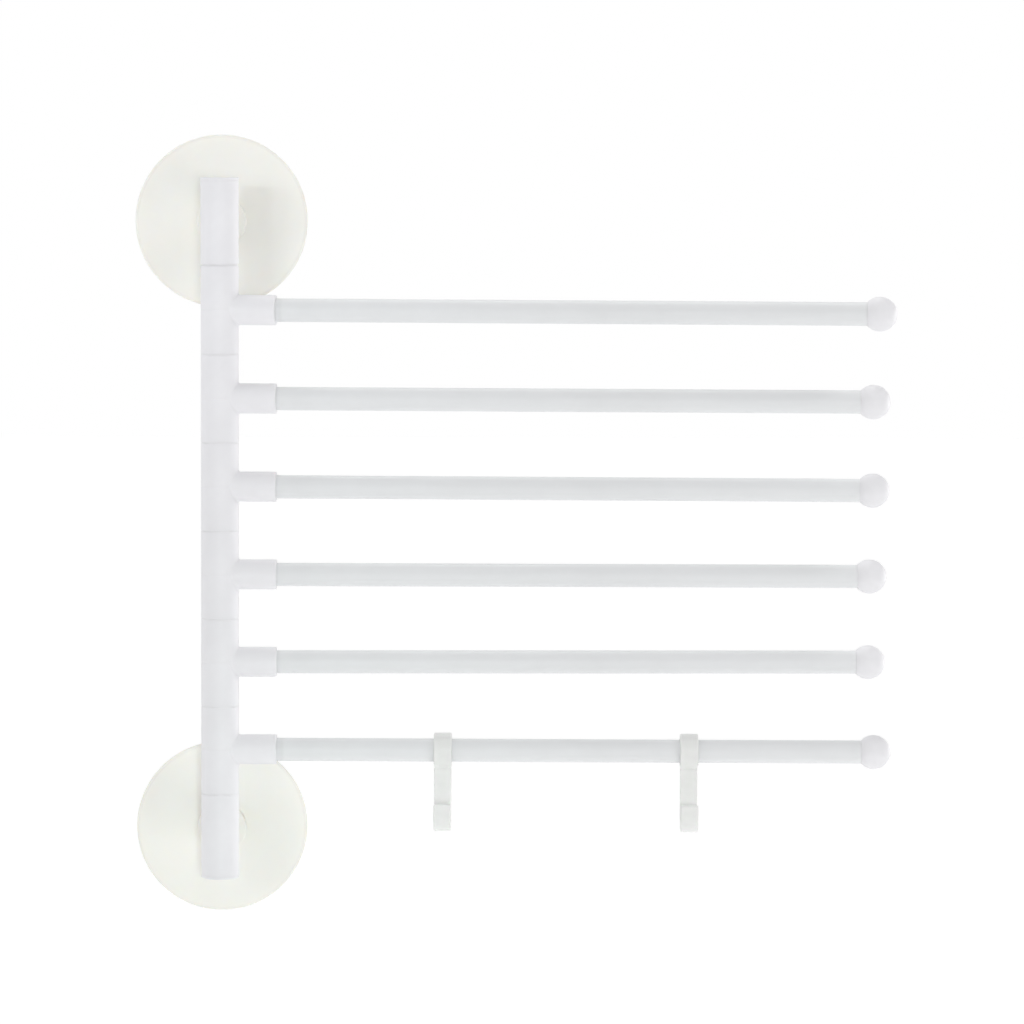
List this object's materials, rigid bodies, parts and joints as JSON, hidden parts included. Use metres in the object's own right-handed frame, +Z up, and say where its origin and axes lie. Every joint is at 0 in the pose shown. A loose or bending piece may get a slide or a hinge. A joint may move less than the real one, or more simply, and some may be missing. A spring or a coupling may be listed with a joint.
{
  "type": "swivel towel rack",
  "caption": "Wall-mounted towel rack whose ball-ended bars swivel one above the other on a round post between two wall discs, with sliding hooks on the lowest bar.",
  "frame": {"origin": "centre of the upper wall pad's back face, on the wall", "axes": "+Z up along the post, +X along the bars to the right as seen from the room, +Y into the wall"},
  "size_m": [0.3317, 0.0748, 0.3455],
  "materials": {
    "white_plastic": "satin moulded white",
    "white_tube": "smooth white coating",
    "milky_plastic": "satin milky white",
    "hook_plastic": "satin, slightly translucent white",
    "pad": "matt adhesive pad",
    "steel": "plain turned steel",
    "nylon": "natural nylon"
  },
  "bodies": {
    "root": {"upper_wall_pad": "pad", "lower_wall_pad": "pad", "upper_wall_disc": "milky_plastic", "lower_wall_disc": "milky_plastic", "upper_fixing_screw": "steel", "lower_fixing_screw": "steel", "top_sleeve": "white_plastic", "bottom_sleeve": "white_plastic", "top_cap": "white_plastic", "bottom_cap": "white_plastic", "shaft": "steel", "top_nut": "steel", "bottom_nut": "steel", "washer_1": "nylon", "washer_2": "nylon", "washer_3": "nylon", "washer_4": "nylon", "washer_5": "nylon", "washer_6": "nylon", "washer_7": "nylon"},
    "arm_1": {"arm_1_hub": "white_plastic", "arm_1_tube": "white_tube", "arm_1_ball": "white_plastic"},
    "arm_2": {"arm_2_hub": "white_plastic", "arm_2_tube": "white_tube", "arm_2_ball": "white_plastic"},
    "arm_3": {"arm_3_hub": "white_plastic", "arm_3_tube": "white_tube", "arm_3_ball": "white_plastic"},
    "arm_4": {"arm_4_hub": "white_plastic", "arm_4_tube": "white_tube", "arm_4_ball": "white_plastic"},
    "arm_5": {"arm_5_hub": "white_plastic", "arm_5_tube": "white_tube", "arm_5_ball": "white_plastic"},
    "arm_6": {"arm_6_hub": "white_plastic", "arm_6_tube": "white_tube", "arm_6_ball": "white_plastic"},
    "hook_1": {"hook_1": "hook_plastic"},
    "hook_2": {"hook_2": "hook_plastic"}
  },
  "joints": [
    {"name": "arm_1_swing", "type": "hinge", "parent": "root", "child": "arm_1", "pos_m": [0, -0.033, -0.0385], "axis": [0, 0, 1], "range_deg": [-178.1, 11.9]},
    {"name": "arm_2_swing", "type": "hinge", "parent": "root", "child": "arm_2", "pos_m": [0, -0.033, -0.077], "axis": [0, 0, 1], "range_deg": [-180.9, 9.1]},
    {"name": "arm_3_swing", "type": "hinge", "parent": "root", "child": "arm_3", "pos_m": [0, -0.033, -0.1155], "axis": [0, 0, 1], "range_deg": [-181, 9]},
    {"name": "arm_4_swing", "type": "hinge", "parent": "root", "child": "arm_4", "pos_m": [0, -0.033, -0.154], "axis": [0, 0, 1], "range_deg": [-183.3, 6.7]},
    {"name": "arm_5_swing", "type": "hinge", "parent": "root", "child": "arm_5", "pos_m": [0, -0.033, -0.1925], "axis": [0, 0, 1], "range_deg": [-184.7, 5.3]},
    {"name": "arm_6_swing", "type": "hinge", "parent": "root", "child": "arm_6", "pos_m": [0, -0.033, -0.231], "axis": [0, 0, 1], "range_deg": [-177.6, 7.4]},
    {"name": "hook_1_slide", "type": "slide", "parent": "arm_6", "child": "hook_1", "axis": [0.9991, -0.0419, 0], "range_m": [-0.0683, 0.0496]},
    {"name": "hook_2_slide", "type": "slide", "parent": "arm_6", "child": "hook_2", "axis": [0.9991, -0.0419, 0], "range_m": [-0.0495, 0.071]}
  ]
}
